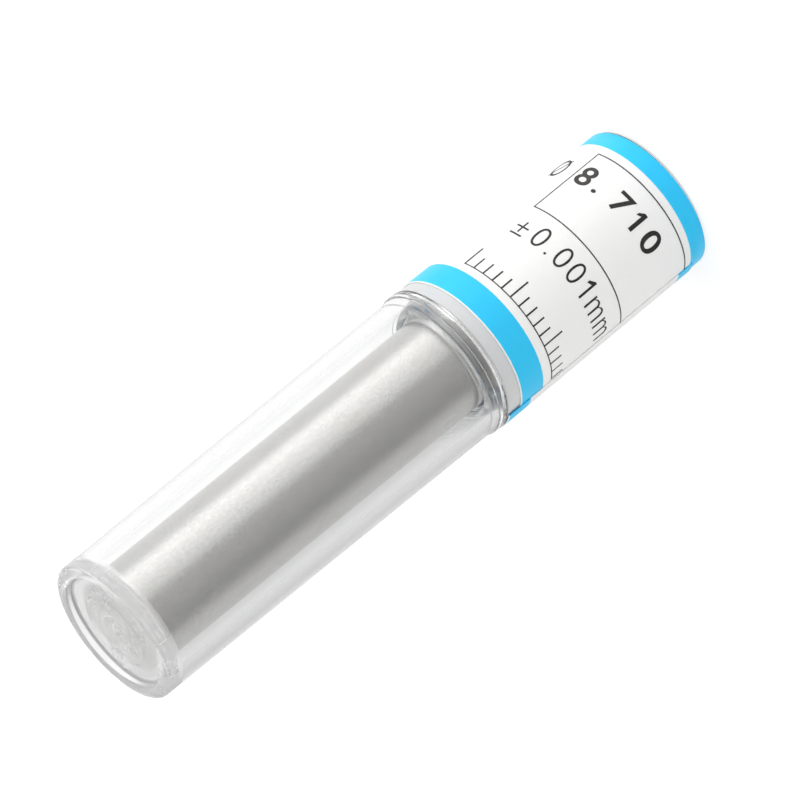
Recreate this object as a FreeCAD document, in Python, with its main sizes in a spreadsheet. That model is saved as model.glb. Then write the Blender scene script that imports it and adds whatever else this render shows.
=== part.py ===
import FreeCAD, Part
import math
import os

import Sketcher

# A pin gauge in its round storage tube: a ground steel pin stands in a clear moulded base that
# carries a wrapped paper label, and a clear tube with a closed end drops over the pin.
# Millimetres, +Z up, origin at the centre of the face that the base stands on.

DRIVING_DIMENSIONS = {
    # the gauge pin
    "pin_diameter": 8.71,
    "pin_length": 50.0,
    "pin_chamfer": 0.22,
    # the clear base: a tapered socket with a foot recess below and a spigot above
    "base_height": 22.66,
    "base_foot_radius": 6.52,
    "base_neck_radius": 6.70,
    "base_edge_rounding": 0.25,
    "socket_radius": 4.65,
    "socket_floor_height": 8.35,
    "socket_floor_thickness": 1.3,
    "foot_recess_radius": 5.3,
    "foot_recess_draft": 0.12,
    "spigot_radius": 5.42,
    "spigot_length": 1.2,
    "spigot_rounding": 0.2,
    # the clear tube, drawn from its open mouth upwards
    "seam_gap": 0.05,
    "tube_length": 37.14,
    "tube_mouth_radius": 6.68,
    "tube_tip_radius": 6.44,
    "tube_tip_rounding": 0.3,
    "tube_bore_mouth_radius": 5.50,
    "tube_bore_end_radius": 5.22,
    "tube_bore_rounding": 0.4,
    "tube_lead_in": 0.15,
    "tube_floor": 1.3,
    "bead_radius": 6.82,
    "bead_width": 0.95,
    "bead_rounding": 0.1,
    # the face of the closed end: a shallow recess with two ridges and a gate mark
    "recess_radius": 5.2,
    "recess_depth": 0.4,
    "recess_draft": 0.1,
    "outer_ridge_radius": 3.2,
    "inner_ridge_radius": 1.6,
    "ridge_width": 0.4,
    "ridge_height": 0.16,
    "gate_radius": 0.5,
    "gate_height": 0.2,
    # the paper label, wrapped once round the base with its end lapped over its start
    "label_bottom": 0.3,
    "label_width": 21.1,
    "label_glue": 0.02,
    "label_paper": 0.09,
    "label_lap_degrees": 22.0,
    "label_lap_bearing": 175.0,
}

doc = FreeCAD.newDocument("pin_gauge_in_tube")
sheet = doc.addObject("Spreadsheet::Sheet", "Sheet")
for row, (alias, size) in enumerate(DRIVING_DIMENSIONS.items(), start=1):
    sheet.set(f"A{row}", alias)
    sheet.set(f"B{row}", str(size))
    sheet.setAlias(f"B{row}", alias)
doc.recompute()


def named(formula):
    """Turns a formula of bare aliases, such as "tube_length - tube_floor", into an expression."""
    words = formula.split()
    return " ".join("Sheet." + word if word in DRIVING_DIMENSIONS else word for word in words)


def new_body(name, standing_height=None):
    """One sub-part: a body with its own label, stood at a height that the sheet gives."""
    body = doc.addObject("PartDesign::Body", name)
    body.Label = name
    if standing_height:
        body.setExpression("Placement.Base.z", named(standing_height))
    return body


def origin_plane(body, role):
    return next(item for item in body.Origin.OriginFeatures if item.Role == role)


def half_section(body, name, corners, bearing=None):
    """A closed outline in the body's XZ plane, each corner fixed at (radius, height) by formulas.

    A radius of "0" puts the corner on the axis. The bearing turns the plane about the axis.
    """
    sketch = body.newObject("Sketcher::SketchObject", name)
    sketch.AttachmentSupport = [(origin_plane(body, "XZ_Plane"), "")]
    sketch.MapMode = "FlatFace"
    if bearing:
        about_axis = FreeCAD.Rotation(FreeCAD.Vector(0, 1, 0), 1.0)
        sketch.AttachmentOffset = FreeCAD.Placement(FreeCAD.Vector(0, 0, 0), about_axis)
        sketch.setExpression("AttachmentOffset.Rotation.Angle", named(bearing))
    places = []
    for radius, height in corners:
        across, up = (float(sketch.evalExpression(named(part))) for part in (radius, height))
        places.append(FreeCAD.Vector(across, up, 0))
    for index, place in enumerate(places):
        after = places[(index + 1) % len(places)]
        sketch.addGeometry(Part.LineSegment(place, after), False)
    for index in range(len(places)):
        following = (index + 1) % len(places)
        sketch.addConstraint(Sketcher.Constraint("Coincident", index, 2, following, 1))
    for index, (radius, height) in enumerate(corners):
        if radius == "0":
            sketch.addConstraint(Sketcher.Constraint("PointOnObject", index, 1, -2))
        else:
            pin_corner(sketch, "DistanceX", index, places[index].x, f"radius_{index}", radius)
        if height == "0":
            sketch.addConstraint(Sketcher.Constraint("PointOnObject", index, 1, -1))
        else:
            pin_corner(sketch, "DistanceY", index, places[index].y, f"height_{index}", height)
    doc.recompute()
    return sketch


def pin_corner(sketch, kind, index, size, name, formula):
    """Holds one corner at a distance from the origin, by a named constraint bound to the sheet."""
    number = sketch.addConstraint(Sketcher.Constraint(kind, -1, 1, index, 1, size))
    sketch.renameConstraint(number, name)
    sketch.setExpression(f"Constraints.{name}", named(formula))


def turned(body, kind, name, sketch, angle=None):
    """A Revolution or a Groove of the sketch about the body's upright axis."""
    before = body.Shape.Volume if body.Tip else 0.0
    feature = body.newObject(f"PartDesign::{kind}", name)
    feature.Profile = sketch
    feature.ReferenceAxis = (sketch, ["V_Axis"])
    feature.Angle = 360.0
    if angle:
        feature.setExpression("Angle", named(angle))
    doc.recompute()
    change = body.Shape.Volume - before
    if change * (-1 if kind == "Groove" else 1) <= 0:
        raise RuntimeError(f"{body.Name}.{name} changed the volume by {change:.3f} mm3")
    return feature


def rim_edges(shape, rims):
    """Names of the full circular edges at the given (radius, height) rims."""
    names = []
    for number, edge in enumerate(shape.Edges, start=1):
        if not isinstance(edge.Curve, Part.Circle):
            continue
        here = (edge.Curve.Radius, edge.Curve.Center.z)
        if any(math.dist(here, rim) < 0.01 for rim in rims):
            names.append(f"Edge{number}")
    return names


def dress_rims(body, kind, name, size_alias, rims):
    """Rounds or bevels rims of the body, each given as a (radius, height) pair of formulas."""
    base = body.Tip
    places = [
        tuple(float(base.evalExpression(named(part))) for part in rim)
        for rim in rims
    ]
    names = rim_edges(base.Shape, places)
    if len(names) < len(rims):
        raise RuntimeError(f"{body.Name}.{name} found {len(names)} of {len(rims)} rims")
    feature = body.newObject(f"PartDesign::{kind}", name)
    feature.Base = (base, names)
    size_name = "Radius" if kind == "Fillet" else "Size"
    feature.setExpression(size_name, named(size_alias))
    doc.recompute()
    return feature


def make_gauge_pin():
    """The gauge itself: one ground cylinder with a small chamfer at each end."""
    body = new_body("gauge_pin", "socket_floor_height")
    sketch = body.newObject("Sketcher::SketchObject", "PinSection")
    sketch.AttachmentSupport = [(origin_plane(body, "XY_Plane"), "")]
    sketch.MapMode = "FlatFace"
    radius = float(sketch.evalExpression(named("pin_diameter / 2")))
    circle = Part.Circle(FreeCAD.Vector(0, 0, 0), FreeCAD.Vector(0, 0, 1), radius)
    sketch.addGeometry(circle, False)
    sketch.addConstraint(Sketcher.Constraint("Coincident", 0, 3, -1, 1))
    number = sketch.addConstraint(Sketcher.Constraint("Diameter", 0, 2 * radius))
    sketch.renameConstraint(number, "diameter")
    sketch.setExpression("Constraints.diameter", named("pin_diameter"))
    pad = body.newObject("PartDesign::Pad", "PinLength")
    pad.Profile = sketch
    pad.setExpression("Length", named("pin_length"))
    doc.recompute()
    ends = [("pin_diameter / 2", "0"), ("pin_diameter / 2", "pin_length")]
    dress_rims(body, "Chamfer", "PinEnds", "pin_chamfer", ends)


def make_tube_base():
    """The moulded base: foot, raised socket floor, tapered wall and the spigot for the tube."""
    body = new_body("tube_base")
    spigot_top = "base_height + spigot_length"
    floor_under = "socket_floor_height - socket_floor_thickness"
    section = half_section(body, "BaseSection", [
        ("foot_recess_radius", "0"),
        ("base_foot_radius", "0"),
        ("base_neck_radius", "base_height"),
        ("spigot_radius", "base_height"),
        ("spigot_radius", spigot_top),
        ("socket_radius", spigot_top),
        ("socket_radius", "socket_floor_height"),
        ("0", "socket_floor_height"),
        ("0", floor_under),
        ("foot_recess_radius - foot_recess_draft", floor_under),
    ])
    turned(body, "Revolution", "BaseWall", section)
    dress_rims(body, "Fillet", "FootEdge", "base_edge_rounding", [("base_foot_radius", "0")])
    spigot_rims = [("spigot_radius", spigot_top), ("socket_radius", spigot_top)]
    dress_rims(body, "Fillet", "SpigotEdges", "spigot_rounding", spigot_rims)


def make_clear_tube():
    """The moulded tube: a beaded mouth, a drafted wall and bore, and a closed end."""
    body = new_body("clear_tube", "base_height + seam_gap")
    bore_end = "tube_length - tube_floor"
    section = half_section(body, "TubeSection", [
        ("tube_bore_mouth_radius + tube_lead_in", "0"),
        ("bead_radius", "0"),
        ("bead_radius", "bead_width"),
        ("tube_mouth_radius", "bead_width"),
        ("tube_tip_radius", "tube_length"),
        ("0", "tube_length"),
        ("0", bore_end),
        ("tube_bore_end_radius", bore_end),
        ("tube_bore_mouth_radius", "2 * tube_lead_in"),
    ])
    turned(body, "Revolution", "TubeWall", section)
    recess_floor = "tube_length - recess_depth"
    recess = half_section(body, "RecessSection", [
        ("0", recess_floor),
        ("recess_radius - recess_draft", recess_floor),
        ("recess_radius", "tube_length"),
        ("0", "tube_length"),
    ])
    turned(body, "Groove", "EndRecess", recess)
    for ring in ("outer", "inner"):
        middle = f"{ring}_ridge_radius"
        ridge = half_section(body, f"{ring.capitalize()}RidgeSection", [
            (f"{middle} - ridge_width / 2", recess_floor),
            (f"{middle} + ridge_width / 2", recess_floor),
            (middle, f"{recess_floor} + ridge_height"),
        ])
        turned(body, "Revolution", f"{ring.capitalize()}Ridge", ridge)
    gate = half_section(body, "GateSection", [
        ("0", recess_floor),
        ("gate_radius", recess_floor),
        ("gate_radius / 2", f"{recess_floor} + gate_height"),
        ("0", f"{recess_floor} + gate_height"),
    ])
    turned(body, "Revolution", "GateMark", gate)
    bead_rims = [("bead_radius", "0"), ("bead_radius", "bead_width")]
    dress_rims(body, "Fillet", "BeadEdges", "bead_rounding", bead_rims)
    tip_rims = [("tube_tip_radius", "tube_length")]
    dress_rims(body, "Fillet", "TipEdge", "tube_tip_rounding", tip_rims)
    bore_rims = [("tube_bore_end_radius", bore_end)]
    dress_rims(body, "Fillet", "BoreCorner", "tube_bore_rounding", bore_rims)


def make_paper_label():
    """The label: a paper skin on the base's tapered wall, doubled where its end laps its start."""
    body = new_body("paper_label", "label_bottom")
    taper = "( base_neck_radius - base_foot_radius ) / base_height"
    low = f"base_foot_radius + label_glue + {taper} * label_bottom"
    high = f"{low} + {taper} * label_width"
    first_turn = half_section(body, "FirstTurnSection", [
        (low, "0"),
        (f"{low} + label_paper", "0"),
        (f"{high} + label_paper", "label_width"),
        (high, "label_width"),
    ])
    turned(body, "Revolution", "FirstTurn", first_turn)
    lap = half_section(body, "LapSection", [
        (f"{low} + label_paper / 2", "0"),
        (f"{low} + 2 * label_paper", "0"),
        (f"{high} + 2 * label_paper", "label_width"),
        (f"{high} + label_paper / 2", "label_width"),
    ], bearing="label_lap_bearing")
    turned(body, "Revolution", "Lap", lap, angle="label_lap_degrees")


make_tube_base()
make_paper_label()
make_gauge_pin()
make_clear_tube()
doc.recompute()

for item in doc.Objects:
    if "Invalid" in item.State or "Error" in item.State:
        raise RuntimeError(f"{item.Name} did not recompute: {item.State}")

os.makedirs("parts", exist_ok=True)
for body in doc.findObjects("PartDesign::Body"):
    if body.Shape.isNull() or not body.Shape.isValid():
        raise RuntimeError(f"{body.Label} has no valid shape")
    body.Shape.exportStep(f"parts/{body.Label}.step")
    box = body.Shape.BoundBox
    print(f"{body.Label}: {body.Shape.Volume:.1f} mm3, x {box.XMin:.2f}..{box.XMax:.2f},"
          f" y {box.YMin:.2f}..{box.YMax:.2f}, z {box.ZMin:.2f}..{box.ZMax:.2f}")
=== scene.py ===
# %% [markdown]
# # A pin gauge in its clear storage tube
#
# The object is a ground steel pin that stands in a clear moulded base. A paper label is wrapped
# round the base, and a clear tube with a closed end drops over the pin. The CAD model is the
# frame: it says where every body stands and how far the tube lifts. This script dresses it.
# The first cell loads that frame and prints the box of each part.

# %% Load the frame
import math

import bpy
from mathutils import Matrix, Vector


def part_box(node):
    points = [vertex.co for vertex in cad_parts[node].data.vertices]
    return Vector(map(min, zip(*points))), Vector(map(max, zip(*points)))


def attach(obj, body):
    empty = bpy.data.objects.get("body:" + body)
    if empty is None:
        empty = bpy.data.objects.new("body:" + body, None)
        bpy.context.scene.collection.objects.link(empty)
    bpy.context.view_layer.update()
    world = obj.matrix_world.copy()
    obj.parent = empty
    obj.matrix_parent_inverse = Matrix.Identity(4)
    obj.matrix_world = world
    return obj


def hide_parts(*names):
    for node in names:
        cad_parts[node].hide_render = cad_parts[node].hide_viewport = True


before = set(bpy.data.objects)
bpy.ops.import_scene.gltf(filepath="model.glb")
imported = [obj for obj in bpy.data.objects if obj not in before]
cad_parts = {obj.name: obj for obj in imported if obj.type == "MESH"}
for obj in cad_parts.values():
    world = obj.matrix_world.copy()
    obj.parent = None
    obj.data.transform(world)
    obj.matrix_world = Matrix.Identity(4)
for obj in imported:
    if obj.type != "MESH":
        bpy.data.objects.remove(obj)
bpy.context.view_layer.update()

MM = 0.001
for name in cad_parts:
    low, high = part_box(name)
    print(name, [round(value / MM, 2) for value in low], [round(value / MM, 2) for value in high])

# %% [markdown]
# ## The view
#
# A small part is best seen through a long lens from some way off, because a long lens keeps
# upright edges parallel, as in a catalogue. The camera looks at the middle of the gauge from
# about 23 degrees above. It is also rolled about its own line of sight, so that the gauge lies
# across the picture with its closed end at the lower left. The roll is one turn about the
# camera's own Z axis, made after it is aimed.

# %% Place the camera
AIM = Vector((-0.06, 0.0, 28.2)) * MM
LOOK_DOWN = math.radians(23.3)
CAMERA_DISTANCE = 797.5 * MM
CAMERA_ROLL = math.radians(-129.2)

lens = bpy.data.cameras.new("long_lens")
lens.lens = 450.0
lens.sensor_width = 36.0
lens.clip_start = 0.05
lens.clip_end = 60.0
camera = bpy.data.objects.new("camera", lens)
bpy.context.scene.collection.objects.link(camera)
camera_back = Vector((0.0, -math.cos(LOOK_DOWN), math.sin(LOOK_DOWN)))
aimed = Matrix.Rotation(math.radians(90.0) - LOOK_DOWN, 4, "X")
camera.matrix_world = (
    Matrix.Translation(AIM + camera_back * CAMERA_DISTANCE)
    @ aimed
    @ Matrix.Rotation(CAMERA_ROLL, 4, "Z")
)
bpy.context.scene.camera = camera
bpy.context.scene.view_settings.view_transform = "Standard"
print("camera at", [round(value, 4) for value in camera.matrix_world.translation])

# %% [markdown]
# ## Small tools for shader nodes
#
# Every finish below is built from nodes. Writing each node in full would bury the idea, so two
# small helpers do the wiring: one adds a node with its settings, the other joins two sockets.
# The maths helper gives back its output socket, which lets a pattern read like a formula.

# %% Helpers for node trees
def add_node(tree, kind, **settings):
    """Adds one shader node and sets its properties."""
    node = tree.nodes.new(kind)
    for key, value in settings.items():
        setattr(node, key, value)
    return node


def feed(tree, socket, value):
    """Joins an output to a socket, or sets the socket to a plain value."""
    if isinstance(value, bpy.types.NodeSocket):
        tree.links.new(value, socket)
    else:
        socket.default_value = value


def maths(tree, operation, *values, clamp=False):
    """One Math node: maths(tree, "ADD", a, b) gives the socket of a + b."""
    node = add_node(tree, "ShaderNodeMath", operation=operation, use_clamp=clamp)
    for socket, value in zip(node.inputs, values):
        feed(tree, socket, value)
    return node.outputs[0]


def ease(tree, value, low, high):
    """0 below low, 1 above high, and a smooth step between them."""
    node = add_node(tree, "ShaderNodeMapRange", interpolation_type="SMOOTHSTEP")
    feed(tree, node.inputs["Value"], value)
    feed(tree, node.inputs["From Min"], low)
    feed(tree, node.inputs["From Max"], high)
    return node.outputs["Result"]


def blend_colours(tree, factor, first, second, mode="MIX"):
    """One colour Mix node."""
    node = add_node(tree, "ShaderNodeMix", data_type="RGBA", blend_type=mode)
    feed(tree, node.inputs["Factor"], factor)
    feed(tree, node.inputs[6], first)
    feed(tree, node.inputs[7], second)
    return node.outputs[2]


def new_material(name):
    """An empty material with its output node, and the tree to build in."""
    material = bpy.data.materials.new(name)
    material.use_nodes = True
    tree = material.node_tree
    tree.nodes.clear()
    output = add_node(tree, "ShaderNodeOutputMaterial")
    return material, tree, output

# %% [markdown]
# ## The floor and the light
#
# Clear plastic and bright steel have almost no look of their own: they show what stands round
# them. So the studio is part of the job. The floor is white and large, and so is the sky, which
# gives the pale, nearly shadowless catalogue look. One big soft lamp on the left makes the long
# highlight on the pin and shades the label from left to right.
# A white room alone would leave the steel flat, so a glowing card lies on the floor all round the gauge.
# Its brightness is painted by bearing: darker in front and to the right, brighter than the sky on the
# left. It is out of the camera's sight. It shows only in reflections, as painted reflection bands and
# part of the pin's highlight. Behind the gauge on the right it also shows in light bent through the
# plastic, as painted shade along the tube's side.

# %% White floor and sky
FLOOR_SIDE = 30.0
FLOOR_LIT = 0.30
FLOOR_GLOW = 0.74
FLOOR_PLAIN = 0.85
WHITE = (1.0, 1.0, 1.0, 1.0)


def grey(value):
    """A neutral colour."""
    return (value, value, value, 1.0)


def make_floor_white():
    """White to the camera and in reflections, with part of it lit, so that a shadow still shows."""
    material, tree, output = new_material("floor_white")
    lit = add_node(tree, "ShaderNodeBsdfDiffuse")
    lit.inputs["Color"].default_value = grey(FLOOR_LIT)
    glow = add_node(tree, "ShaderNodeEmission")
    glow.inputs["Color"].default_value = WHITE
    glow.inputs["Strength"].default_value = FLOOR_GLOW
    shown = add_node(tree, "ShaderNodeAddShader")
    tree.links.new(lit.outputs[0], shown.inputs[0])
    tree.links.new(glow.outputs[0], shown.inputs[1])
    plain = add_node(tree, "ShaderNodeBsdfDiffuse")
    plain.inputs["Color"].default_value = grey(FLOOR_PLAIN)
    path = add_node(tree, "ShaderNodeLightPath")
    seen = maths(tree, "ADD", path.outputs["Is Camera Ray"], path.outputs["Is Glossy Ray"], clamp=True)
    seen = maths(tree, "ADD", seen, path.outputs["Is Transmission Ray"], clamp=True)
    choice = add_node(tree, "ShaderNodeMixShader")
    feed(tree, choice.inputs["Fac"], seen)
    tree.links.new(plain.outputs[0], choice.inputs[1])
    tree.links.new(shown.outputs[0], choice.inputs[2])
    tree.links.new(choice.outputs[0], output.inputs["Surface"])
    return material


bpy.ops.object.select_all(action="DESELECT")
bpy.ops.mesh.primitive_plane_add(size=FLOOR_SIDE, location=(0.0, 0.0, 0.0))
floor = bpy.context.object
floor.name = "floor"
floor.data.materials.append(make_floor_white())

world = bpy.data.worlds.new("white_sky")
world.use_nodes = True
sky = world.node_tree.nodes["Background"]
sky.inputs["Color"].default_value = WHITE
sky.inputs["Strength"].default_value = 1.0
bpy.context.scene.world = world
print("floor and sky are white")

# %% [markdown]
# ## Light inside clear plastic
#
# Light that enters a clear wall bounces along inside it many times before it leaves. Cycles stops
# after a few bounces and shows black there, so the paths are allowed to go on for longer.

# %% Let light travel through the plastic
PLASTIC_BOUNCES = 36
STEEL_BOUNCES = 24

paths = bpy.context.scene.cycles
paths.max_bounces = PLASTIC_BOUNCES
paths.transmission_bounces = PLASTIC_BOUNCES
paths.glossy_bounces = STEEL_BOUNCES
print("bounces", paths.max_bounces, paths.transmission_bounces, paths.glossy_bounces)

# %% The big soft lamp on the left
LAMP_BEARING = math.radians(-72.0)
LAMP_HEIGHT = 0.26
LAMP_REACH = 0.70
LAMP_WIDTH, LAMP_DEPTH = 0.60, 0.42
LAMP_POWER = 2.6
LAMP_AIM = Vector((0.0, 0.0, 30.0)) * MM

bulb = bpy.data.lights.new("soft_box", "AREA")
bulb.shape = "RECTANGLE"
bulb.size = LAMP_WIDTH
bulb.size_y = LAMP_DEPTH
bulb.energy = LAMP_POWER
soft_box = bpy.data.objects.new("soft_box", bulb)
bpy.context.scene.collection.objects.link(soft_box)
soft_box.location = (-math.sin(LAMP_BEARING) * LAMP_REACH, -math.cos(LAMP_BEARING) * LAMP_REACH,
                     LAMP_HEIGHT)
toward = LAMP_AIM - soft_box.location
soft_box.rotation_euler = toward.to_track_quat("-Z", "Y").to_euler()
print("lamp at", [round(value, 3) for value in soft_box.location])

# %% The glowing card, its brightness painted by bearing, that the steel mirrors
CARD_INNER = 7.4 * MM
CARD_OUTER = 420.0 * MM
CARD_HEIGHT = 0.4 * MM
CARD_BRIGHTNESS = 2.0
MIRRORED_AFTER = 0.5
BENT_AFTER = 2.5
BEHIND_FROM, BEHIND_FULL = 118.0, 140.0
# bearing in degrees from the front, positive to the right, and half the painted glow wanted there
CARD_STOPS = (
    (-179.0, 0.54), (-130.0, 0.53), (-100.0, 0.42), (-84.0, 0.46), (-70.0, 0.92), (-56.0, 0.78),
    (-34.0, 0.62), (-14.0, 0.48), (0.0, 0.27), (20.0, 0.265), (45.0, 0.21), (68.0, 0.17),
    (86.0, 0.34), (105.0, 0.42), (140.0, 0.33), (165.0, 0.27), (179.0, 0.29),
)


def make_reflection_card_glow():
    """A glowing card, its brightness painted by bearing, read from the floor's own coordinates."""
    material, tree, output = new_material("painted_reflection_glow")
    where = add_node(tree, "ShaderNodeTexCoord")
    parts = add_node(tree, "ShaderNodeSeparateXYZ")
    tree.links.new(where.outputs["Object"], parts.inputs[0])
    flipped = maths(tree, "MULTIPLY", parts.outputs["Y"], -1.0)
    across = maths(tree, "MULTIPLY", parts.outputs["X"], -1.0)
    bearing = maths(tree, "ARCTAN2", across, flipped)
    turn = maths(tree, "MULTIPLY_ADD", bearing, 0.5 / math.pi, 0.5)
    ramp = add_node(tree, "ShaderNodeValToRGB")
    ramp.color_ramp.interpolation = "B_SPLINE"
    while len(ramp.color_ramp.elements) < len(CARD_STOPS):
        ramp.color_ramp.elements.new(0.5)
    for element, (degrees, tone) in zip(ramp.color_ramp.elements, CARD_STOPS):
        element.position = (degrees + 180.0) / 360.0
        element.color = grey(tone)
    feed(tree, ramp.inputs[0], turn)
    # The ramp's grey is emitted: painted light and shade, seen only in reflections and in bent light
    # behind.
    glow = add_node(tree, "ShaderNodeEmission")
    tree.links.new(ramp.outputs["Color"], glow.inputs["Color"])
    glow.inputs["Strength"].default_value = CARD_BRIGHTNESS
    absent = add_node(tree, "ShaderNodeBsdfTransparent")
    path = add_node(tree, "ShaderNodeLightPath")
    mirrored = maths(tree, "GREATER_THAN", path.outputs["Glossy Depth"], MIRRORED_AFTER)
    bent = maths(tree, "GREATER_THAN", path.outputs["Transmission Depth"], BENT_AFTER)
    behind = ease(tree, turn, 0.5 + BEHIND_FROM / 360.0, 0.5 + BEHIND_FULL / 360.0)
    shown = maths(tree, "MAXIMUM", mirrored, maths(tree, "MULTIPLY", bent, behind))
    choice = add_node(tree, "ShaderNodeMixShader")
    feed(tree, choice.inputs["Fac"], shown)
    tree.links.new(absent.outputs[0], choice.inputs[1])
    tree.links.new(glow.outputs[0], choice.inputs[2])
    tree.links.new(choice.outputs[0], output.inputs["Surface"])
    return material


bpy.ops.object.select_all(action="DESELECT")
bpy.ops.mesh.primitive_circle_add(vertices=96, radius=CARD_INNER,
                                  location=(0.0, 0.0, CARD_HEIGHT))
card = bpy.context.object
card.name = "glowing_reflection_card"
bpy.ops.object.mode_set(mode="EDIT")
bpy.ops.mesh.select_all(action="SELECT")
bpy.ops.mesh.extrude_edges_move()
widen = CARD_OUTER / CARD_INNER
bpy.ops.transform.resize(value=(widen, widen, 1.0), center_override=(0.0, 0.0, 0.0))
bpy.ops.object.mode_set(mode="OBJECT")
card.data.materials.append(make_reflection_card_glow())
# Hidden from camera rays, diffuse light and shadows, the card is a glowing sheet of painted reflection.
card.visible_camera = False
card.visible_diffuse = False
card.visible_shadow = False
print("card from", CARD_INNER, "to", CARD_OUTER)

# %% [markdown]
# ## Turning a piece from its outline
#
# The tube, the base and the pin are all round, so each is turned like wood on a lathe: half of
# the cut-open outline is drawn once, then spun about the upright axis. A cylinder primitive
# could not hold the steps, beads and recesses, and a Screw modifier would do the same as Spin.
# The outline is drawn by adding a plane, merging it to one corner and extruding that corner
# from point to point. After the spin, the doubled points along the seam and at the poles are
# merged, and the normals are turned outwards.

# %% Helper: arcs for rounded corners
def rounded(centre, radius, start, end, steps=5):
    """Points of an arc in the half section, in millimetres; angles in degrees from the +r side."""
    points = []
    for step in range(steps + 1):
        angle = math.radians(start + (end - start) * step / steps)
        points.append((centre[0] + radius * math.cos(angle), centre[1] + radius * math.sin(angle)))
    return points


def on_line(first, second, height):
    """The radius of a straight, tapered wall at a height."""
    share = (height - first[1]) / (second[1] - first[1])
    return first[0] + (second[0] - first[0]) * share

# %% Helper: spin an outline
ROUND_STEPS = 192
DOUBLED = 0.002 * MM
SMOOTH_BELOW = math.radians(32.0)


def turn_outline(name, outline, material, steps=ROUND_STEPS):
    """Draws (radius, height) points in millimetres and spins them into a closed piece."""
    bpy.ops.object.select_all(action="DESELECT")
    bpy.ops.mesh.primitive_plane_add(size=0.001, location=(0.0, 0.0, 0.0))
    piece = bpy.context.object
    piece.name = name
    piece.data.name = name
    bpy.ops.object.mode_set(mode="EDIT")
    bpy.ops.mesh.select_all(action="SELECT")
    bpy.ops.mesh.merge(type="CENTER")
    place = Vector((0.0, 0.0, 0.0))
    for number, (radius, height) in enumerate(outline):
        goal = Vector((radius * MM, 0.0, height * MM))
        if number == 0:
            bpy.ops.transform.translate(value=goal - place)
        else:
            bpy.ops.mesh.extrude_region_move(TRANSFORM_OT_translate={"value": goal - place})
        place = goal
    bpy.ops.mesh.select_all(action="SELECT")
    bpy.ops.mesh.spin(steps=steps, angle=math.tau, center=(0.0, 0.0, 0.0), axis=(0.0, 0.0, 1.0))
    bpy.ops.mesh.select_all(action="SELECT")
    bpy.ops.mesh.remove_doubles(threshold=DOUBLED)
    bpy.ops.mesh.normals_make_consistent(inside=False)
    bpy.ops.mesh.select_all(action="DESELECT")
    bpy.ops.object.mode_set(mode="OBJECT")
    bpy.ops.object.shade_smooth_by_angle(angle=SMOOTH_BELOW)
    even = piece.modifiers.new("even_shading", "WEIGHTED_NORMAL")
    even.keep_sharp = True
    bpy.ops.object.modifier_apply(modifier=even.name)
    piece.data.materials.append(material)
    loose = sum(1 for edge in piece.data.edges if edge.is_loose)
    print(name, len(piece.data.polygons), "faces,", loose, "loose edges")
    return piece

# %% [markdown]
# ## Clear moulded plastic
#
# The tube and the base are injection moulded in clear polystyrene or a plastic like it. Such
# plastic is almost colourless, bends light a little more than acrylic, and has a surface that is
# glossy but not perfect: faint flow marks and hair scratches from the box it is kept in. A
# Principled shader with full transmission gives the clear body. The marks go into roughness and
# a very weak bump, stretched along the tube, so that the highlights break up softly.

# %% The marks that moulding and handling leave, shared by every plastic finish
FLOW_STRETCH = (1.0, 1.0, 0.12)
FLOW_ROUGHENS = 0.05


def make_flow_marks():
    """A node group: faint marks stretched along the object, as a roughness and a normal."""
    group = bpy.data.node_groups.new("flow_marks", "ShaderNodeTree")
    for name, kind in (("Vector", "NodeSocketVector"), ("Scale", "NodeSocketFloat"),
                       ("Least Roughness", "NodeSocketFloat")):
        group.interface.new_socket(name=name, in_out="INPUT", socket_type=kind)
    for name, kind in (("Roughness", "NodeSocketFloat"), ("Normal", "NodeSocketVector")):
        group.interface.new_socket(name=name, in_out="OUTPUT", socket_type=kind)
    given = add_node(group, "NodeGroupInput")
    result = add_node(group, "NodeGroupOutput")
    stretch = add_node(group, "ShaderNodeMapping")
    stretch.inputs["Scale"].default_value = FLOW_STRETCH
    group.links.new(given.outputs["Vector"], stretch.inputs["Vector"])
    flow = add_node(group, "ShaderNodeTexNoise")
    flow.inputs["Detail"].default_value = 4.0
    group.links.new(given.outputs["Scale"], flow.inputs["Scale"])
    group.links.new(stretch.outputs[0], flow.inputs["Vector"])
    marked = ease(group, flow.outputs["Fac"], 0.45, 0.8)
    rough = maths(group, "MULTIPLY_ADD", marked, FLOW_ROUGHENS, given.outputs["Least Roughness"])
    bump = add_node(group, "ShaderNodeBump")
    bump.inputs["Strength"].default_value = 0.06
    bump.inputs["Distance"].default_value = 0.02 * MM
    group.links.new(flow.outputs["Fac"], bump.inputs["Height"])
    group.links.new(rough, result.inputs["Roughness"])
    group.links.new(bump.outputs[0], result.inputs["Normal"])
    return group


flow_marks = make_flow_marks()
print("group", flow_marks.name, [socket.name for socket in flow_marks.interface.items_tree])

# %% Clear plastic
PLASTIC_IOR = 1.50


def make_clear_plastic(name, tint, scratch_scale, clearness, least_rough):
    """Clear moulded plastic; a clearness below 1 makes it milky and a roughness frosts it."""
    material, tree, output = new_material(name)
    shader = add_node(tree, "ShaderNodeBsdfPrincipled")
    shader.inputs["Transmission Weight"].default_value = clearness
    shader.inputs["IOR"].default_value = PLASTIC_IOR
    shader.inputs["Base Color"].default_value = tint
    where = add_node(tree, "ShaderNodeTexCoord")
    marks = add_node(tree, "ShaderNodeGroup", node_tree=flow_marks)
    marks.inputs["Scale"].default_value = scratch_scale
    marks.inputs["Least Roughness"].default_value = least_rough
    tree.links.new(where.outputs["Object"], marks.inputs["Vector"])
    tree.links.new(marks.outputs["Roughness"], shader.inputs["Roughness"])
    tree.links.new(marks.outputs["Normal"], shader.inputs["Normal"])
    tree.links.new(shader.outputs[0], output.inputs["Surface"])
    return material


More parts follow.
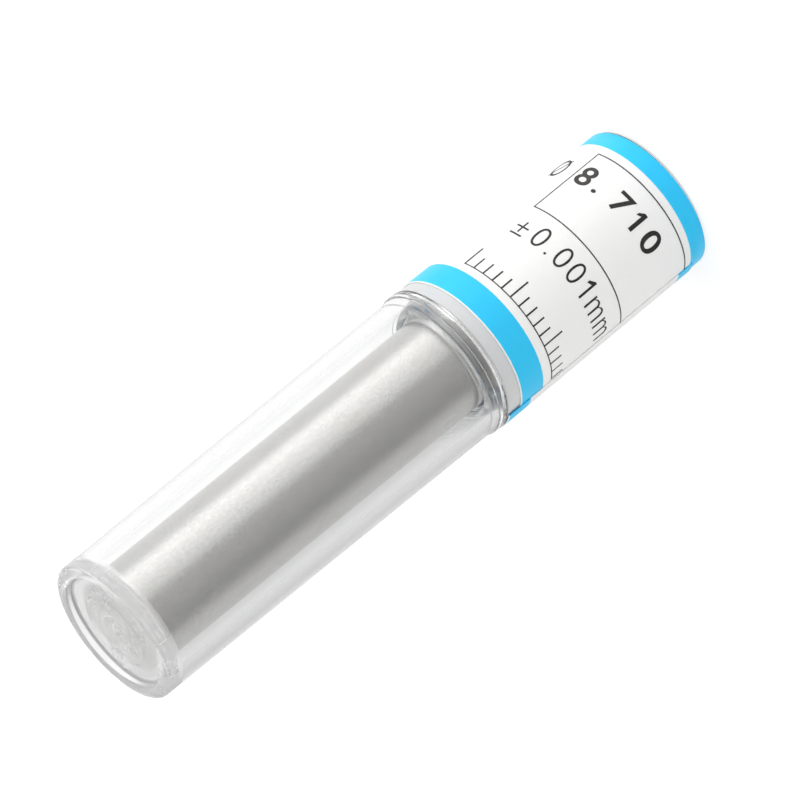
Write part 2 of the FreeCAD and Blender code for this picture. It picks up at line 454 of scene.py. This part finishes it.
TUBE_TINT = (0.995, 0.998, 0.997, 1.0)
BASE_TINT = (0.99, 0.995, 0.994, 1.0)
NECK_TINT = (0.95, 0.945, 0.93, 1.0)

tube_plastic = make_clear_plastic("clear_tube_plastic", TUBE_TINT, 260.0, 0.99, 0.012)
base_plastic = make_clear_plastic("clear_base_plastic", BASE_TINT, 220.0, 1.0, 0.02)

# %% [markdown]
# ## Frosted zones
#
# The closed end of the tube and the neck and foot of the base aren't polished in the mould, so
# they look milky. They are the same plastic with less transmission and more roughness. A zone is
# picked by where a face's middle lies, so each outline has a ring just where its zone begins.

# %% Frosted plastic
frosted_end = make_clear_plastic("frosted_end_plastic", WHITE, 320.0, 0.80, 0.26)
frosted_neck = make_clear_plastic("frosted_neck_plastic", NECK_TINT, 900.0, 0.40, 0.30)


def frost(piece, finish, chosen):
    """Gives the faces whose middles are chosen a second finish."""
    piece.data.materials.append(finish)
    for face in piece.data.polygons:
        if chosen(face.center):
            face.material_index = 1

# %% [markdown]
# ## The clear tube
#
# The tube is one moulding: a beaded mouth that meets the base, a wall that tapers by a quarter of
# a millimetre towards its closed end, and an end face with a shallow recess. In the recess are
# two fine rings and a small gate mark, where the plastic entered the mould. The outline runs from
# the middle of the inner end, down the bore, round the mouth, up the outside and across the
# recess, so that the spin closes at both poles.

# %% Turn the clear tube
SEAT = 22.71
TUBE_LENGTH = 37.14
MOUTH_WALL = (6.68, 0.95)
TIP_WALL = (6.44, 37.14)
BORE_MOUTH = (5.50, 0.30)
BORE_END = (5.22, 35.84)
RECESS_FLOOR = 36.74
RECESS_RINGS = (3.2, 1.6)
FROSTED_ABOVE = 58.32


def tube_outline():
    """The tube's half section, from the pole inside to the pole outside."""
    points = [(radius, BORE_END[1]) for radius in (0.0, 1.6, 3.2)]
    points += rounded((BORE_END[0] - 0.40, 35.44), 0.40, 90.0, 0.0, 8)
    points += [(on_line(BORE_END, BORE_MOUTH, height), height)
               for height in (28.0, 20.0, 12.0, 5.0, 1.2)]
    points += [BORE_MOUTH, (5.54, 0.15), (5.60, 0.05), (5.68, 0.0), (6.20, 0.0)]
    points += rounded((6.72, 0.10), 0.10, -90.0, 0.0, 5)
    points += rounded((6.72, 0.85), 0.10, 0.0, 90.0, 5)
    points += [(6.69, 0.955), (6.678, 1.02), (on_line(MOUTH_WALL, TIP_WALL, 1.5), 1.5)]
    points += [(on_line(MOUTH_WALL, TIP_WALL, height), height)
               for height in (6.0, 14.0, 22.0, 30.0, 35.6)]
    points += rounded((6.142, 36.84), 0.30, 0.0, 90.0, 7)
    points += rounded((5.38, 36.94), 0.20, 90.0, 160.0, 5)
    points += [(5.12, 36.86), (5.04, 36.78), (4.92, 36.745), (4.75, RECESS_FLOOR)]
    for middle in RECESS_RINGS:
        points += [(middle + 0.26, RECESS_FLOOR), (middle + 0.17, 36.765), (middle + 0.07, 36.87),
                   (middle, 36.90), (middle - 0.07, 36.87), (middle - 0.17, 36.765),
                   (middle - 0.26, RECESS_FLOOR)]
    points += [(0.58, RECESS_FLOOR), (0.48, 36.77), (0.34, 36.90), (0.22, 36.94), (0.0, 36.94)]
    return [(radius, height + SEAT) for radius, height in points]


clear_tube = turn_outline("turned_tube", tube_outline(), tube_plastic)
frost(clear_tube, frosted_end, lambda spot: spot.z > FROSTED_ABOVE * MM)
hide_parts("clear_tube")
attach(clear_tube, "tube")

# %% [markdown]
# ## The clear base
#
# The base is a socket for the pin: a raised floor inside a tapered wall, an open recess under the
# foot, and a low spigot at the top that the tube's mouth slides over. All of it is one moulding, so it is
# turned from one outline as well. The edges are given small roundings, because moulded plastic
# never has a knife edge, and a knife edge would show no highlight.

# %% Turn the clear base
BASE_HEIGHT = 22.66
FOOT_WALL = (6.52, 0.0)
NECK_WALL = (6.70, BASE_HEIGHT)
SOCKET_FLOOR = 8.35
SOCKET_RADIUS = 4.65
SPIGOT_RADIUS = 5.42
FOOT_RECESS_TOP = 7.05
FROSTED_FROM, FROSTED_TO = 21.2, 22.7
FROSTED_FOOT = 0.3
FROSTED_OUTSIDE = 5.5


def base_outline():
    """The base's half section, from the pole on the socket floor to the pole under it."""
    points = [(radius, SOCKET_FLOOR) for radius in (0.0, 1.5, 3.0)]
    points += rounded((4.40, SOCKET_FLOOR + 0.25), 0.25, -90.0, 0.0, 5)
    points += [(SOCKET_RADIUS, height) for height in (12.0, 17.0, 22.0)]
    points += rounded((4.85, 23.60), 0.20, 180.0, 90.0, 4)
    points += rounded((5.22, 23.60), 0.20, 90.0, 0.0, 4)
    points += [(SPIGOT_RADIUS, 23.1), (SPIGOT_RADIUS, 22.72), (5.47, BASE_HEIGHT)]
    points += rounded((6.60, 22.56), 0.10, 90.0, 0.0, 5)
    points += [(on_line(FOOT_WALL, NECK_WALL, height), height)
               for height in (FROSTED_FROM, 18.0, 12.0, 6.0, 1.0)]
    points += rounded((6.272, 0.25), 0.25, 0.0, -90.0, 6)
    points += rounded((5.40, 0.10), 0.10, -90.0, -180.0, 4)
    points += [(5.26, 2.5), (5.20, 5.5)]
    points += rounded((4.98, 6.85), 0.20, 0.0, 90.0, 4)
    points += [(radius, FOOT_RECESS_TOP) for radius in (3.0, 1.5, 0.0)]
    return points


clear_base = turn_outline("turned_base", base_outline(), base_plastic)
frost(clear_base, frosted_neck, lambda spot: spot.xy.length > FROSTED_OUTSIDE * MM
      and (FROSTED_FROM * MM < spot.z < FROSTED_TO * MM or spot.z < FROSTED_FOOT * MM))
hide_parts("tube_base")
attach(clear_base, "base")

# %% [markdown]
# ## The ground steel pin
#
# A gauge pin is hardened steel, ground all round without centres. The grinding leaves very fine
# rings round it, so a highlight is drawn out along the pin while it stays narrow across it. That
# is anisotropic reflection. The shader's anisotropy stretches the highlight, a radial tangent
# about Z gives its direction, and thin rings in a weak bump give the ground surface up close.
# The small bevels at the ends are lathe work and are kept bright.

# %% Ground steel
STEEL_DARK, STEEL_LIGHT = (0.585, 0.575, 0.56, 1.0), (0.66, 0.655, 0.64, 1.0)
STEEL_SMUDGED = (0.60, 0.585, 0.56, 1.0)
GRAIN_DARK, GRAIN_LIGHT = (0.93, 0.93, 0.93, 1.0), (1.07, 1.065, 1.06, 1.0)


def make_ground_steel():
    """Steel with fine grinding rings, a smudged roughness and a stretched highlight."""
    material, tree, output = new_material("ground_steel")
    shader = add_node(tree, "ShaderNodeBsdfPrincipled")
    shader.inputs["Metallic"].default_value = 1.0
    shader.inputs["Anisotropic"].default_value = 0.7
    shader.inputs["Anisotropic Rotation"].default_value = 0.25
    tangent = add_node(tree, "ShaderNodeTangent", direction_type="RADIAL", axis="Z")
    tree.links.new(tangent.outputs[0], shader.inputs["Tangent"])
    where = add_node(tree, "ShaderNodeTexCoord")
    grinding = add_node(tree, "ShaderNodeMapping")
    grinding.inputs["Scale"].default_value = (40.0, 40.0, 16000.0)
    tree.links.new(where.outputs["Object"], grinding.inputs["Vector"])
    rings = add_node(tree, "ShaderNodeTexNoise")
    rings.inputs["Scale"].default_value = 1.0
    rings.inputs["Detail"].default_value = 3.0
    tree.links.new(grinding.outputs[0], rings.inputs["Vector"])
    smudge = add_node(tree, "ShaderNodeTexNoise")
    smudge.inputs["Scale"].default_value = 190.0
    smudge.inputs["Detail"].default_value = 5.0
    tree.links.new(where.outputs["Object"], smudge.inputs["Vector"])
    tone = blend_colours(tree, rings.outputs["Fac"], STEEL_DARK, STEEL_LIGHT)
    tone = blend_colours(tree, ease(tree, smudge.outputs["Fac"], 0.5, 0.85), tone, STEEL_SMUDGED)
    grain = add_node(tree, "ShaderNodeTexNoise")
    grain.inputs["Scale"].default_value = 6500.0
    grain.inputs["Detail"].default_value = 2.0
    tree.links.new(where.outputs["Object"], grain.inputs["Vector"])
    speckle = blend_colours(tree, ease(tree, grain.outputs["Fac"], 0.28, 0.72), GRAIN_DARK, GRAIN_LIGHT)
    tone = blend_colours(tree, 1.0, tone, speckle, "MULTIPLY")
    feed(tree, shader.inputs["Base Color"], tone)
    rough = maths(tree, "MULTIPLY_ADD", smudge.outputs["Fac"], 0.10, 0.20)
    feed(tree, shader.inputs["Roughness"], rough)
    bump = add_node(tree, "ShaderNodeBump")
    bump.inputs["Strength"].default_value = 0.06
    bump.inputs["Distance"].default_value = 0.004 * MM
    tree.links.new(rings.outputs["Fac"], bump.inputs["Height"])
    tree.links.new(bump.outputs[0], shader.inputs["Normal"])
    tree.links.new(shader.outputs[0], output.inputs["Surface"])
    return material


ground_steel = make_ground_steel()

# %% Turn the pin
PIN_RADIUS = 4.355
PIN_LOW, PIN_HIGH = 8.35, 58.35
BEVEL = 0.22


def pin_outline():
    """The pin's half section: two flat ends, two bevels with broken edges, a straight side."""
    half = [(0.0, 0.0), (1.8, 0.0), (PIN_RADIUS - BEVEL - 0.04, 0.0),
            (PIN_RADIUS - BEVEL + 0.02, 0.02), (PIN_RADIUS - 0.02, BEVEL - 0.02),
            (PIN_RADIUS, BEVEL + 0.04)]
    lower = [(radius, PIN_LOW + height) for radius, height in half]
    side = [(PIN_RADIUS, height) for height in (16.0, 24.0, 33.0, 42.0, 50.0)]
    upper = [(radius, PIN_HIGH - height) for radius, height in reversed(half)]
    return lower + side + upper


gauge_pin = turn_outline("turned_pin", pin_outline(), ground_steel)
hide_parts("gauge_pin")
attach(gauge_pin, "base")

# %% [markdown]
# ## The paper label
#
# The label is a strip of coated paper, glued round the tapered wall with its start lapped over
# its end. It was stuck on slightly askew, so its edge climbs as it goes round, and it drifts a
# little more over the back. At the lap its two layers therefore lie at different heights. The
# strip is made
# flat first: a fine grid with its own UV map, which a Solidify modifier turns into paper. Then
# every corner is rolled onto the wall. Blender's bend tools need a window or know only a plain
# cylinder, so the rolling is a formula: along the strip becomes the bearing, across it becomes
# the height, and the height above the flat sheet becomes the distance from the wall.
# In the flat sheet +X is the reading direction and +Y is up, which is towards the foot.

# %% Helper: roll a flat sheet onto the wall
LABEL_WIDTH = 21.1
LABEL_EDGE = 21.4
ROLL_RADIUS = 6.72
PAPER = 0.09
GLUE = 0.02
LAP_BEARING = math.radians(73.0)
LAP = math.radians(22.0)
LAP_EASES = (math.radians(1.0), math.radians(7.0))
ASKEW = 0.13  # millimetres for each radian of bearing
BACK_DRIFT = 0.60
BACK_FROM, BACK_TO = math.radians(-250.0), math.radians(-100.0)


def smooth_step(value, low, high):
    """0 below low, 1 above high, eased between them."""
    share = max(0.0, min(1.0, (value - low) / (high - low)))
    return share * share * (3.0 - 2.0 * share)


def roll_on(flat):
    """Takes (x, y, lift) in millimetres on the flat sheet to its place on the base, in metres."""
    bearing = flat[0] / ROLL_RADIUS
    drifted = 1.0 - smooth_step(bearing, BACK_FROM, BACK_TO)
    height = LABEL_EDGE - flat[1] - ASKEW * bearing + BACK_DRIFT * drifted
    wall = on_line(FOOT_WALL, NECK_WALL, height)
    lap_over = LAP_BEARING - math.tau + LAP
    on_top = 1.0 - smooth_step(bearing, lap_over + LAP_EASES[0], lap_over + LAP_EASES[1])
    radius = wall + GLUE + (PAPER + GLUE) * on_top + flat[2]
    return Vector((-math.sin(bearing) * radius, -math.cos(bearing) * radius, height)) * MM


def roll_piece(piece):
    """Rolls a whole flat mesh, drawn in millimetres, onto the base."""
    for corner in piece.data.vertices:
        corner.co = roll_on(corner.co)
    piece.data.update()

# %% [markdown]
# ## Coated label paper
#
# Label stock is smooth white paper with a thin gloss. Two cyan bands are printed along its
# edges. They belong to the strip, so they are placed with its UV map: V runs across the strip,
# and a band is where V lies between two values. Print is never quite even, so a fine noise makes
# the band's edge a little ragged and its ink a little mottled. The fibre of the paper is a
# weak bump.

# %% Label paper with its printed bands
BAND_LOW = (0.10, 2.50)
BAND_HIGH = (19.45, 21.3)
BAND_EDGE = 0.03
PAPER_DULL, PAPER_WHITE = (0.88, 0.875, 0.86, 1.0), (0.92, 0.915, 0.90, 1.0)
CYAN_DEEP, CYAN_LIGHT = (0.004, 0.51, 0.96, 1.0), (0.010, 0.57, 1.0, 1.0)


def make_label_paper():
    """White paper under a thin gloss, with two cyan bands placed by the strip's own UV map."""
    material, tree, output = new_material("label_paper")
    shader = add_node(tree, "ShaderNodeBsdfPrincipled")
    shader.inputs["Coat Weight"].default_value = 0.5
    shader.inputs["Coat Roughness"].default_value = 0.55
    shader.inputs["Specular IOR Level"].default_value = 0.3
    shader.inputs["Subsurface Weight"].default_value = 0.5
    shader.inputs["Subsurface Radius"].default_value = (1.0, 1.0, 1.0)
    shader.inputs["Subsurface Scale"].default_value = 0.25 * MM
    where = add_node(tree, "ShaderNodeTexCoord")
    strip = add_node(tree, "ShaderNodeUVMap", uv_map="strip")
    parts = add_node(tree, "ShaderNodeSeparateXYZ")
    tree.links.new(strip.outputs[0], parts.inputs[0])
    fibre = add_node(tree, "ShaderNodeTexNoise")
    fibre.inputs["Scale"].default_value = 5200.0
    fibre.inputs["Detail"].default_value = 3.0
    tree.links.new(where.outputs["Object"], fibre.inputs["Vector"])
    mottle = add_node(tree, "ShaderNodeTexNoise")
    mottle.inputs["Scale"].default_value = 700.0
    mottle.inputs["Detail"].default_value = 4.0
    tree.links.new(where.outputs["Object"], mottle.inputs["Vector"])
    across = maths(tree, "MULTIPLY", parts.outputs["Y"], LABEL_WIDTH)
    across = maths(tree, "ADD", across, maths(tree, "MULTIPLY_ADD", fibre.outputs["Fac"], 0.05, -0.025))
    inked = 0.0
    for low, high in (BAND_LOW, BAND_HIGH):
        above = ease(tree, across, low - BAND_EDGE, low + BAND_EDGE)
        below = maths(tree, "SUBTRACT", 1.0, ease(tree, across, high - BAND_EDGE, high + BAND_EDGE))
        band = maths(tree, "MULTIPLY", above, below)
        inked = maths(tree, "ADD", inked, band, clamp=True)
    white = blend_colours(tree, fibre.outputs["Fac"], PAPER_DULL, PAPER_WHITE)
    cyan = blend_colours(tree, mottle.outputs["Fac"], CYAN_DEEP, CYAN_LIGHT)
    feed(tree, shader.inputs["Base Color"], blend_colours(tree, inked, white, cyan))
    rough = maths(tree, "MULTIPLY_ADD", fibre.outputs["Fac"], 0.15, 0.38)
    feed(tree, shader.inputs["Roughness"], rough)
    bump = add_node(tree, "ShaderNodeBump")
    bump.inputs["Strength"].default_value = 0.2
    bump.inputs["Distance"].default_value = 0.01 * MM
    tree.links.new(fibre.outputs["Fac"], bump.inputs["Height"])
    tree.links.new(bump.outputs[0], shader.inputs["Normal"])
    tree.links.new(shader.outputs[0], output.inputs["Surface"])
    return material


label_paper = make_label_paper()

# %% Cut the strip and roll it on
STRIP_END = (LAP_BEARING + LAP) * ROLL_RADIUS
STRIP_LENGTH = (math.tau + LAP) * ROLL_RADIUS
GRID_ALONG, GRID_ACROSS = 420, 24

bpy.ops.object.select_all(action="DESELECT")
bpy.ops.mesh.primitive_grid_add(x_subdivisions=GRID_ALONG, y_subdivisions=GRID_ACROSS, size=1.0,
                                calc_uvs=True)
label = bpy.context.object
label.name = "label_strip"
label.data.name = "label_strip"
label.data.uv_layers[0].name = "strip"
bpy.ops.object.mode_set(mode="EDIT")
bpy.ops.mesh.select_all(action="SELECT")
bpy.ops.transform.resize(value=(STRIP_LENGTH, LABEL_WIDTH, 1.0), center_override=(0.0, 0.0, 0.0))
bpy.ops.transform.translate(value=(STRIP_END - STRIP_LENGTH / 2.0, LABEL_WIDTH / 2.0, 0.0))
bpy.ops.object.mode_set(mode="OBJECT")
thick = label.modifiers.new("paper", "SOLIDIFY")
thick.thickness = PAPER
thick.offset = 1.0
bpy.ops.object.modifier_apply(modifier=thick.name)
roll_piece(label)
bpy.ops.object.mode_set(mode="EDIT")
bpy.ops.mesh.select_all(action="SELECT")
bpy.ops.mesh.normals_make_consistent(inside=False)
bpy.ops.object.mode_set(mode="OBJECT")
bpy.ops.object.shade_smooth_by_angle(angle=math.radians(30.0))
label.data.materials.append(label_paper)
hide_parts("paper_label")
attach(label, "base")
print("strip", round(STRIP_LENGTH, 1), "mm long,", len(label.data.polygons), "faces")

# %% [markdown]
# ## What is printed on the label
#
# Between the bands the label carries the pin's size in a ruled box, the tolerance below it, and
# a fine millimetre rule. Ink is a film with crisp edges, so each character is cut as a mesh from
# Blender's own font, fitted to its height and width, and placed on the same flat sheet as the
# paper. Text could be painted as a picture, but a mesh stays sharp however close one looks.
# The whole print is slightly crooked on the strip, as a label printer leaves it. Before it can
# be rolled on, it is sliced across every third of a millimetre, because a flat triangle that
# spans the curve would sink into the paper.

# %% Black printing ink
INK_FULL, INK_THIN = (0.006, 0.004, 0.004, 1.0), (0.030, 0.022, 0.020, 1.0)


def make_black_ink():
    """A nearly black film, a little thinner in places."""
    material, tree, output = new_material("black_ink")
    shader = add_node(tree, "ShaderNodeBsdfPrincipled")
    shader.inputs["Coat Weight"].default_value = 0.15
    shader.inputs["Coat Roughness"].default_value = 0.3
    where = add_node(tree, "ShaderNodeTexCoord")
    thin = add_node(tree, "ShaderNodeTexNoise")
    thin.inputs["Scale"].default_value = 3200.0
    thin.inputs["Detail"].default_value = 3.0
    tree.links.new(where.outputs["Object"], thin.inputs["Vector"])
    tone = blend_colours(tree, ease(tree, thin.outputs["Fac"], 0.42, 0.75), INK_FULL, INK_THIN)
    feed(tree, shader.inputs["Base Color"], tone)
    rough = maths(tree, "MULTIPLY_ADD", thin.outputs["Fac"], 0.2, 0.4)
    feed(tree, shader.inputs["Roughness"], rough)
    tree.links.new(shader.outputs[0], output.inputs["Surface"])
    return material


black_ink = make_black_ink()

# %% Helpers: a character and a ruled line on the flat sheet
PRINT_TURN = math.radians(0.77)
PRINT_SHIFT = 15.0 * math.sin(PRINT_TURN)


def flat_size(piece):
    """Lowest corner and size of a flat mesh."""
    corners = [corner.co for corner in piece.data.vertices]
    low = Vector((min(c.x for c in corners), min(c.y for c in corners), 0.0))
    high = Vector((max(c.x for c in corners), max(c.y for c in corners), 0.0))
    return low, high - low


def fit_flat(piece, left, bottom, width, height):
    """Moves and scales a flat mesh to a box, then turns it with the rest of the print."""
    low, size = flat_size(piece)
    for corner in piece.data.vertices:
        across = left + (corner.co.x - low.x) / size.x * width
        up = bottom + (corner.co.y - low.y) / size.y * height
        corner.co = Vector((across * math.cos(PRINT_TURN) - up * math.sin(PRINT_TURN) + PRINT_SHIFT,
                            across * math.sin(PRINT_TURN) + up * math.cos(PRINT_TURN), 0.0))


def character(sign, centre, bottom, width, height, weight=0.0):
    """One character as a flat mesh; a positive weight makes it bolder, a negative one finer."""
    bpy.ops.object.select_all(action="DESELECT")
    bpy.ops.object.text_add(location=(0.0, 0.0, 0.0))
    text = bpy.context.object
    text.data.body = sign
    text.data.offset = weight
    text.data.resolution_u = 6
    bpy.ops.object.convert(target="MESH")
    piece = bpy.context.object
    fit_flat(piece, centre - width / 2.0, bottom, width, height)
    return piece


def figure_one(centre, bottom, width, height, stem):
    """The figure 1, drawn from listed points: a stem with a slanting flag at its top left."""
    bpy.ops.object.select_all(action="DESELECT")
    bpy.ops.mesh.primitive_circle_add(vertices=7, radius=1.0, fill_type="NGON")
    piece = bpy.context.object
    corners = ((1.0, 0.0), (1.0, 1.0), (1.0 - stem * 0.9, 1.0), (0.0, 0.80), (0.0, 0.67),
               (1.0 - stem, 0.78), (1.0 - stem, 0.0))
    for corner, (across, up) in zip(piece.data.vertices, corners):
        corner.co = Vector((across, up, 0.0))
    fit_flat(piece, centre - width / 2.0, bottom, width, height)
    return piece


def ruled_line(left, bottom, width, height):
    """A thin printed line as a flat mesh."""
    bpy.ops.object.select_all(action="DESELECT")
    bpy.ops.mesh.primitive_plane_add(size=1.0)
    piece = bpy.context.object
    fit_flat(piece, left, bottom, width, height)
    return piece

# %% Set the size, the tolerance and the rule
SIZE_BASELINE, SIZE_HEIGHT, SIZE_PITCH = 15.15, 2.02, 1.98
TOLERANCE_BASELINE, TOLERANCE_HEIGHT = 8.12, 2.0
RULE_BASELINE = 3.4
BOX_LEFT, BOX_LOW, BOX_HIGH, LINE_WIDTH = -5.98, 11.22, 18.72, 0.11
LINE_END = (LAP_BEARING + math.radians(3.0)) * ROLL_RADIUS
SIZE_START, SIZE_WEIGHT = -4.82, 0.014
FINE_WEIGHT = -0.012
RULE_TICKS, TICK_WIDTH = 15, 0.14
LONG_TICK, SHORT_TICK = 2.0, 1.2

print_pieces = []
for cell, (sign, width, over) in enumerate((("8", 1.52, 0.07), (".", 0.44, 0.0), ("7", 1.58, 0.0),
                                            ("1", 0.76, 0.0), ("0", 1.66, 0.07))):
    centre = SIZE_START + SIZE_PITCH * cell
    height = SIZE_HEIGHT + 2.0 * over
    if sign == ".":
        centre -= 0.43
        height = 0.38
    if sign == "1":
        print_pieces.append(figure_one(centre - 0.18, SIZE_BASELINE, width, height, 0.5))
    else:
        print_pieces.append(character(sign, centre, SIZE_BASELINE - over, width, height, SIZE_WEIGHT))

for centre in (-3.06, -0.58, 1.02):
    print_pieces.append(character("0", centre, TOLERANCE_BASELINE - 0.03, 1.14,
                                  TOLERANCE_HEIGHT + 0.06, FINE_WEIGHT))
print_pieces.append(figure_one(2.52, TOLERANCE_BASELINE, 0.66, TOLERANCE_HEIGHT, 0.32))
print_pieces.append(character(".", -1.82, TOLERANCE_BASELINE, 0.23, 0.23, 0.0))
print_pieces.append(character("\u00b1", -4.92, TOLERANCE_BASELINE - 0.1, 1.22, 1.6, FINE_WEIGHT))
for centre in (4.56, 6.88):
    print_pieces.append(character("m", centre, TOLERANCE_BASELINE, 1.84, 1.52, FINE_WEIGHT))

print_pieces.append(ruled_line(BOX_LEFT, BOX_HIGH - LINE_WIDTH, LINE_END - BOX_LEFT, LINE_WIDTH))
print_pieces.append(ruled_line(BOX_LEFT, BOX_LOW, LINE_END - BOX_LEFT, LINE_WIDTH))
print_pieces.append(ruled_line(BOX_LEFT, BOX_LOW, LINE_WIDTH, BOX_HIGH - BOX_LOW))

for tick in range(RULE_TICKS):
    height = LONG_TICK if tick % 5 == 0 else SHORT_TICK
    print_pieces.append(ruled_line(-5.9 + tick - TICK_WIDTH / 2.0, RULE_BASELINE, TICK_WIDTH, height))
print_pieces.append(ruled_line(-5.97, RULE_BASELINE - 0.1, 14.14, 0.1))
print_pieces.append(character("\u00d8", -8.0, SIZE_BASELINE - 0.1, 1.5, 2.2, -0.005))
print(len(print_pieces), "printed signs and lines")

# %% Join, slice and roll on the print
INK_FILM = 0.012
SLICE = 0.33

bpy.ops.object.select_all(action="DESELECT")
for piece in print_pieces:
    piece.select_set(True)
label_print = print_pieces[0]
bpy.context.view_layer.objects.active = label_print
bpy.ops.object.join()
label_print.name = "label_print"
label_print.data.name = "label_print"
label_print.data.materials.clear()
label_print.data.materials.append(black_ink)
bpy.ops.object.mode_set(mode="EDIT")
low, size = flat_size(label_print)
cuts = int(size.x / SLICE)
for cut in range(1, cuts + 1):
    bpy.ops.mesh.select_all(action="SELECT")
    bpy.ops.mesh.bisect(plane_co=(low.x + cut * SLICE, 0.0, 0.0), plane_no=(1.0, 0.0, 0.0))
bpy.ops.mesh.select_all(action="SELECT")
bpy.ops.mesh.normals_make_consistent(inside=False)
bpy.ops.object.mode_set(mode="OBJECT")
if sum(face.normal.z * face.area for face in label_print.data.polygons) < 0.0:
    label_print.data.flip_normals()
film = label_print.modifiers.new("ink_film", "SOLIDIFY")
film.thickness = INK_FILM
film.offset = 1.0
bpy.ops.object.modifier_apply(modifier=film.name)
for corner in label_print.data.vertices:
    corner.co.z += PAPER - 0.002
roll_piece(label_print)
bpy.ops.object.mode_set(mode="EDIT")
bpy.ops.mesh.select_all(action="SELECT")
bpy.ops.mesh.normals_make_consistent(inside=False)
bpy.ops.object.mode_set(mode="OBJECT")
bpy.ops.object.shade_smooth_by_angle(angle=math.radians(30.0))
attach(label_print, "base")
print("print has", len(label_print.data.polygons), "faces in", cuts, "slices")
